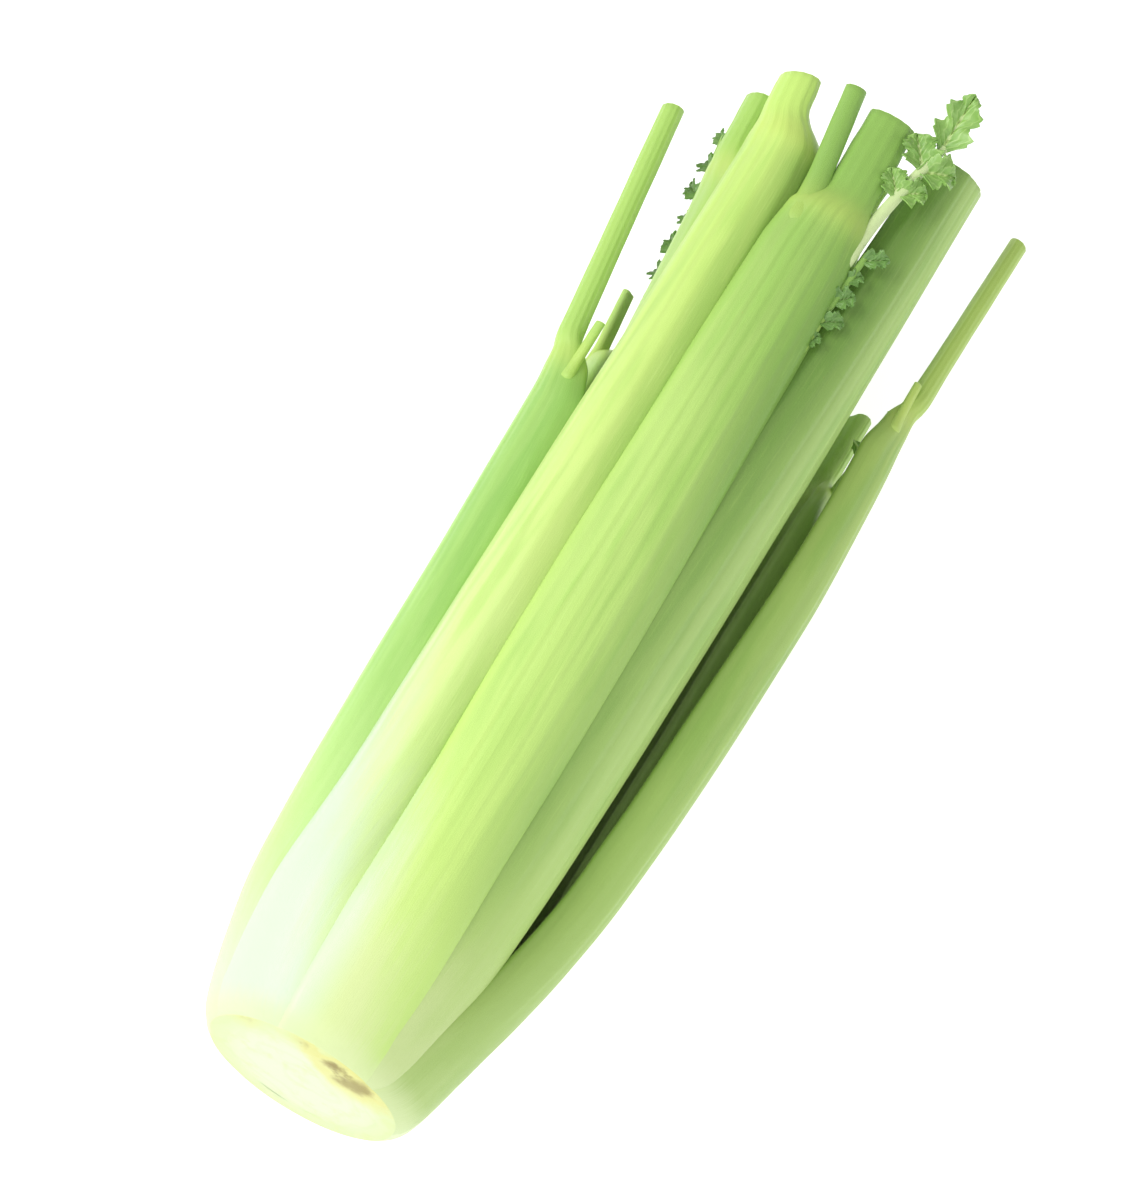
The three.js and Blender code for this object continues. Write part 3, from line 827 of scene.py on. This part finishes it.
SKINS = {
    "pale": Skin(
        root=(202, 220, 194), low=(210, 236, 150), body=(204, 232, 132), top=(190, 224, 114),
        white=(30, 122), tilt=60, painted_flank_shade=(0.1, 1),
    ),
    "crest": Skin(
        root=(210, 226, 158), low=(197, 229, 126), body=(188, 223, 122), top=(138, 181, 86),
        white=(4, 66), tilt=36, painted_flank_shade=(0, 0.65), root_left=(204, 224, 186),
    ),
    "dull": Skin(
        root=(198, 217, 146), low=(180, 210, 119), body=(178, 210, 120), top=(172, 206, 114),
        white=(4, 62), painted_flank_shade=(0.88, 0), flank_shade_from=-0.35,
    ),
    "olive": Skin(
        root=(172, 198, 116), low=(161, 191, 101), body=(167, 200, 104), top=(178, 206, 104),
        white=(0, 30), painted_flank_shade=(0.2, 0.3),
    ),
    "mint": Skin(
        root=(204, 226, 184), low=(192, 228, 142), body=(166, 212, 112), top=(168, 206, 102),
        white=(4, 66), painted_flank_shade=(0, 0.4),
    ),
    "shade": Skin(
        root=(218, 232, 186), low=(208, 232, 152), body=(190, 222, 134), top=(170, 204, 106),
        white=(8, 80), painted_flank_shade=(0.1, 0.1),
    ),
    "inner": Skin(
        root=(232, 241, 204), low=(228, 241, 184), body=(216, 236, 164), top=(158, 200, 92),
        white=(30, 130), painted_flank_shade=(0.1, 0.1),
    ),
    "heart": Skin(
        root=(236, 242, 206), low=(226, 238, 160), body=(210, 230, 130), top=(184, 212, 100),
        white=(30, 140), painted_flank_shade=(0.1, 0.1),
    ),
}
FLESH = tint(232, 242, 196)
FLESH_RIM = tint(196, 226, 128)
STRAND = tint(150, 186, 84)
PALE_STEM = tint(222, 238, 180)
STAIN = tint(126, 100, 8)
HALO = tint(224, 218, 116)
RIM_CREAM = tint(214, 228, 172)
KNOT = tint(210, 226, 112)
PITH = tint(226, 243, 188)
SPECK = tint(176, 160, 84)

# Shares of red, green and blue that turn a skin's colour into another
GREENER = (0.82, 0.91, 0.76)
# SHADED is the colour of the painted shade on the flanks
SHADED = (0.56, 0.68, 0.46)
# GROOVE_SHADE is the colour of the painted shade in the grooves
GROOVE_SHADE = (0.78, 0.78, 0.78)
STREAKED = (1.1, 1.1, 1.1)
ON_STEMS = (1.02, 1.02, 1.02)

FLANK_WIDTH = 0.95
FIBRE_COUNT = 10
FIBRE_STRETCH = 0.014
STRAND_DEPTH = 0.62

# Stains on the root cut, in millimetres from the axis: y, z, reach, strength
ROOT_STAINS = [
    (-12, 22.5, 7, 1), (-18, 15, 9, 0.85), (-1, 26.5, 5, 0.6), (19, 25, 5, 0.5), (-24, 6, 4, 0.3),
]


def root_cut(finish):
    """Colour of the root's knife cut: cream flesh, faint growth lines and brown stains by its upper rim."""
    place, (_, y, z) = finish.position()
    y, z = y * 1000 - AXIS[1], z * 1000 - AXIS[2]
    radius = (y * y + z * z) ** 0.5
    blotches = finish.noise(place, 150, 4, 0.6)
    wander = finish.noise(place, 46, 2)
    lines = finish.node("ShaderNodeMath", {0: (radius + wander * 26) * 0.9}, operation="SINE")
    colour = finish.blend(finish.between(lines, 0.2, 1) * 0.12, tint(224, 238, 200), tint(202, 218, 140))
    colour = finish.blend(finish.between(blotches, 0.5, 0.75) * 0.45, colour, tint(214, 226, 150))
    colour = finish.blend(finish.between(radius, 16, 31) * 0.5, colour, tint(216, 230, 144))
    stained, haloed = 0.0, 0.0
    for centre_y, centre_z, reach, strength in ROOT_STAINS:
        apart = ((y - centre_y) ** 2 + (z - centre_z) ** 2) ** 0.5 + wander * 13 - 6.5 + blotches * 11 - 5.5
        stained = stained + (1 - finish.between(apart, 0, reach)) * strength
        haloed = haloed + (1 - finish.between(apart, reach * 0.4, reach * 2.2)) * strength
    colour = finish.blend(finish.between(haloed, 0, 1) * 0.7, colour, HALO)
    colour = finish.blend(finish.between(stained, 0.05, 1.15) * 0.85, colour, STAIN)
    return colour, blotches


def skin_colour(finish, skin, height, fibres, fibre_count):
    """White at the root, green towards the node, with painted shade on the flanks and in the grooves."""
    across = finish.mark("across")
    patches = finish.noise(finish.vector(across * 1.6, height * 0.02, fibre_count), 1.7, 3)
    reach = height + across * skin.tilt + (patches - 0.5) * 46 + (fibres - 0.5) * 30
    white_from, white_to = skin.white
    root_left, root_right = tint(*(skin.root_left or skin.root)), tint(*skin.root)
    root = finish.blend(finish.between(across, -1, -0.2), root_left, root_right)
    colour = finish.blend(finish.between(reach, white_from, white_to), root, tint(*skin.low))
    colour = finish.blend(finish.between(reach, white_to * 0.7, white_to + 90), colour, tint(*skin.body))
    colour = finish.blend(finish.between(reach, 170, 300) * 0.8, colour, tint(*skin.top))

    broad = finish.noise(finish.vector(across * 2.3, height * 0.011, fibre_count * 2), 1.5, 2)
    bands = finish.between(broad, 0.46, 0.66) * finish.between(height, 40, 160)
    colour = finish.blend(bands * 0.5, colour, tint(*skin.body, shares=GREENER))

    # Painted shade: flanks turned away from the light, or lying under a neighbour's margin, are darkened
    flank_to = skin.flank_shade_from + FLANK_WIDTH
    left_shade = finish.between(-across, skin.flank_shade_from, flank_to) * skin.painted_flank_shade[0]
    right_shade = finish.between(across, skin.flank_shade_from, flank_to) * skin.painted_flank_shade[1]
    in_shade = (left_shade + right_shade) * finish.between(height, 24, 100)
    in_shade = in_shade * (0.6 + finish.between(height, 140, 290) * 0.4)
    colour = finish.blend(in_shade, colour, tint(*skin.body, shares=SHADED))

    # Painted shade in the grooves between the ribs
    groove_shade = (1 - finish.mark("ridge")) * finish.between(height, 70, 180)
    colour = finish.blend(groove_shade * 0.24, colour, tint(*skin.body, shares=GROOVE_SHADE))
    streaks = finish.between(fibres, 0.52, 0.74) * finish.between(height, 18, 90)
    colour = finish.blend(streaks * 0.14, colour, tint(*skin.low, shares=STREAKED))

    # Paler inner face: celery's own pale inside, and painted light that lifts the shade in the gaps between
    # stalks
    inner_face = 1 - finish.between(finish.mark("depth"), -0.6, 0.2)
    colour = finish.blend(inner_face * 0.8, colour, PITH)
    colour = finish.blend(finish.mark("stem") * 0.75, colour, tint(*skin.top, shares=ON_STEMS))
    colour = finish.blend(finish.mark("knot") * 0.3, colour, KNOT)
    colour = finish.blend(finish.mark("pale"), colour, PALE_STEM)

    spots = finish.noise(finish.vector(across * fibre_count, height * 0.3), 2.4, 2)
    colour = finish.blend(finish.between(spots, 0.74, 0.8) * 0.35, colour, SPECK)
    near_root = 1 - finish.between(height + (fibres - 0.5) * 6, 0, 9)
    return finish.blend(near_root * 0.7, colour, RIM_CREAM)


def cut_colour(finish, height):
    """The root's cut, and above it the cut ends of stalks and stems with their row of strands."""
    depth = finish.mark("depth")
    flesh = finish.blend(finish.between(depth * depth, 0.62, 0.98), FLESH, FLESH_RIM)
    in_row = 1 - finish.between((depth - STRAND_DEPTH) ** 2, 0.0, 0.03)
    strands = finish.between(finish.mark("ridge"), 0.4, 0.62) * in_row
    flesh = finish.blend(strands * 0.8, flesh, STRAND)
    rooted, blotches = root_cut(finish)
    return finish.blend(finish.between(height, 0.5, 2), rooted, flesh), blotches


def stalk_finish(name, skin, fibre_count):
    """Celery: fibrous skin, and flesh at the cut ends."""
    finish = Finish(name)
    height = finish.mark("up") * TRIMMED
    cut = finish.mark("cut")
    flow = finish.vector(finish.mark("across") * fibre_count, height * FIBRE_STRETCH)
    fibres = finish.noise(flow, 3.2, 4, 0.6)
    fine_fibres = finish.noise(flow, 11, 3, 0.6)
    flesh, blotches = cut_colour(finish, height)
    colour = finish.blend(cut, skin_colour(finish, skin, height, fibres, fibre_count), flesh)
    bumps = fibres * 0.6 + fine_fibres * 0.4 + blotches * cut * 0.6
    return finish.surface({
        "Base Color": colour,
        "Roughness": 0.36 + fibres * 0.16 + cut * 0.14,
        "Normal": finish.relief(bumps, 0.35, 0.0006),
        "Coat Weight": 0.12,
        "Coat Roughness": 0.3,
        "IOR": 1.42,
    })


def leaf_finish(name):
    """Leaflet skin: paler veins on fresh green, with painted shade on the leaflets of stems that lie in
    shade.
    """
    finish = Finish(name)
    s, t = finish.mark("leaf_across"), finish.mark("leaf_along")
    width = finish.node("ShaderNodeMath", {0: s}, operation="ABSOLUTE")
    veins = finish.node("ShaderNodeMath", {0: (t - width * VEIN_SLANT) * VEINS}, operation="COSINE")
    place, _ = finish.position()
    patches = finish.noise(place, 120, 3)
    colour = finish.blend(patches, tint(112, 160, 72), tint(156, 196, 104))
    colour = finish.blend(finish.between(veins, 0.75, 1) * 0.45, colour, tint(182, 212, 132))
    colour = finish.blend(1 - finish.between(width, 0.03, 0.16), colour, tint(200, 222, 150))
    # Painted shade on leaflets that lie in shade between the stalks
    colour = finish.blend(finish.mark("painted_leaf_shade") * 0.7, colour, tint(84, 128, 62))
    relief = finish.relief(patches + veins * 0.3, 0.3, 0.0004)
    return finish.surface({"Base Color": colour, "Roughness": 0.42, "Normal": relief})


def crown_finish():
    """The crown's flesh."""
    finish = Finish("crown_flesh")
    colour, blotches = root_cut(finish)
    relief = finish.relief(blotches, 0.4, 0.0006)
    return finish.surface({"Base Color": colour, "Roughness": 0.5, "Normal": relief})


# The crown

CROWN_BACK = [(27, 0.3), (26.4, 5), (26, 9.2), (16.5, 13), (12.6, 20), (7, 30), (0, 38)]


def crown_body():
    """The short stem in the middle: a cut face with faint relief, and the hidden cone under the heart."""
    around = np.linspace(0, 2 * math.pi, 97)[:-1][None, :]
    face = np.array([0, 3, 6, 9, 12, 15, 17.5, 20, 22, 23.4, 24.2])
    radius = np.concatenate([face, [r for r, _ in CROWN_BACK]])[:, None]
    up = np.concatenate([0 * face - 0.15, [u for _, u in CROWN_BACK]])[:, None]
    knife = 0.12 * wave(radius * np.cos(around) + 0.4 * radius * np.sin(around), 15, 3) * (radius < 23)
    lobes = 1 + 0.012 * np.cos(5 * around + 0.4) * (radius > 20) * (up < 5)
    angle = np.degrees(around)
    points = place_on_head(angle, radius * lobes, 0 * angle, up + knife)
    return rolled("crown_body", points, {"cut": np.ones((len(radius), 1))})


# Stage

def floor():
    finish = Finish("pale_table")
    place, _ = finish.position()
    shade = finish.blend(finish.noise(place, 3, 2) * 0.03, tint(186, 187, 186), tint(180, 181, 180))
    finish.surface({
        "Base Color": shade, "Roughness": 0.9, "Emission Color": (1, 1, 1, 1), "Emission Strength": 0.8,
    })
    deselect()
    bpy.ops.mesh.primitive_plane_add(size=8, location=(0, 0, -0.0003))
    plane = bpy.context.object
    plane.name = "table_top"
    plane.data.materials.append(finish.material)


def area_light(name, towards, distance, size, power, colour):
    """A soft light that shines at the middle of the head from a direction."""
    light = bpy.data.lights.new(name, "AREA")
    light.shape = "DISK"
    light.size = size
    light.energy = power
    light.color = colour
    lamp = bpy.data.objects.new(name, light)
    bpy.context.scene.collection.objects.link(lamp)
    direction = Vector(towards).normalized()
    lamp.location = Vector((0, 0, 0.045)) + direction * distance
    lamp.rotation_mode = "QUATERNION"
    lamp.rotation_quaternion = direction.to_track_quat("Z", "Y")


def lights():
    world = bpy.data.worlds.new("studio")
    bpy.context.scene.world = world
    world.use_nodes = True
    backdrop = world.node_tree.nodes["Background"]
    backdrop.inputs["Color"].default_value = (1, 1, 1, 1)
    backdrop.inputs["Strength"].default_value = 0.48
    area_light("key_light", (-0.25, 0.85, 1.0), 1.6, 1.1, 21.5, (1.0, 0.985, 0.95))
    area_light("fill_light", (-0.9, -0.3, 0.9), 1.8, 1.4, 7, (0.96, 0.98, 1.0))
    area_light("side_light", (-0.35, -1.0, 0.45), 1.8, 1.4, 6.5, (0.98, 1.0, 0.98))
    bpy.context.scene.view_settings.view_transform = "Standard"


def camera():
    data = bpy.data.cameras.new("photo_camera")
    data.lens = CAMERA_LENS
    data.sensor_width = CAMERA_SENSOR
    data.clip_start, data.clip_end = 0.1, 20
    eye = bpy.data.objects.new("photo_camera", data)
    bpy.context.scene.collection.objects.link(eye)
    azimuth, elevation = math.radians(CAMERA_AZIMUTH), math.radians(CAMERA_ELEVATION)
    level = math.cos(elevation)
    back = Vector((math.sin(azimuth) * level, -math.cos(azimuth) * level, math.sin(elevation)))
    aim = Vector((AXIS + np.array(CAMERA_AIM)) / 1000)
    eye.location = aim + back * CAMERA_DISTANCE / 1000
    eye.rotation_mode = "QUATERNION"
    eye.rotation_quaternion = (-back).to_track_quat("-Z", "Y")
    bpy.context.scene.camera = eye


camera()
floor()
lights()

stalk_skins = {}
for number, (name, skin) in enumerate(SKINS.items()):
    stalk_skins[name] = stalk_finish(f"{name}_skin", skin, FIBRE_COUNT + 0.7 * number)
leaf_skin = leaf_finish("leaf_skin")

crown_piece = finished(joined("celery_crown", [crown_body()]), crown_finish())
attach(crown_piece, "root")
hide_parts("crown")

for stalk in STALKS:
    parts = [stalk_body(stalk)]
    parts += [stem_body(stalk, branch, number) for number, branch in enumerate(stalk.branches[1:], 1)]
    piece = finished(joined("celery_" + stalk.name, parts), stalk_skins[stalk.colours])
    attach(piece, "root")
    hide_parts(stalk.name)
    blades = [blade for branch in stalk.branches for blade in stem_leaflets(stalk, branch)]
    if blades:
        leafy = finished(joined(f"celery_{stalk.name}_leaves", blades), leaf_skin)
        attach(leafy, "root")
        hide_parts(stalk.name)
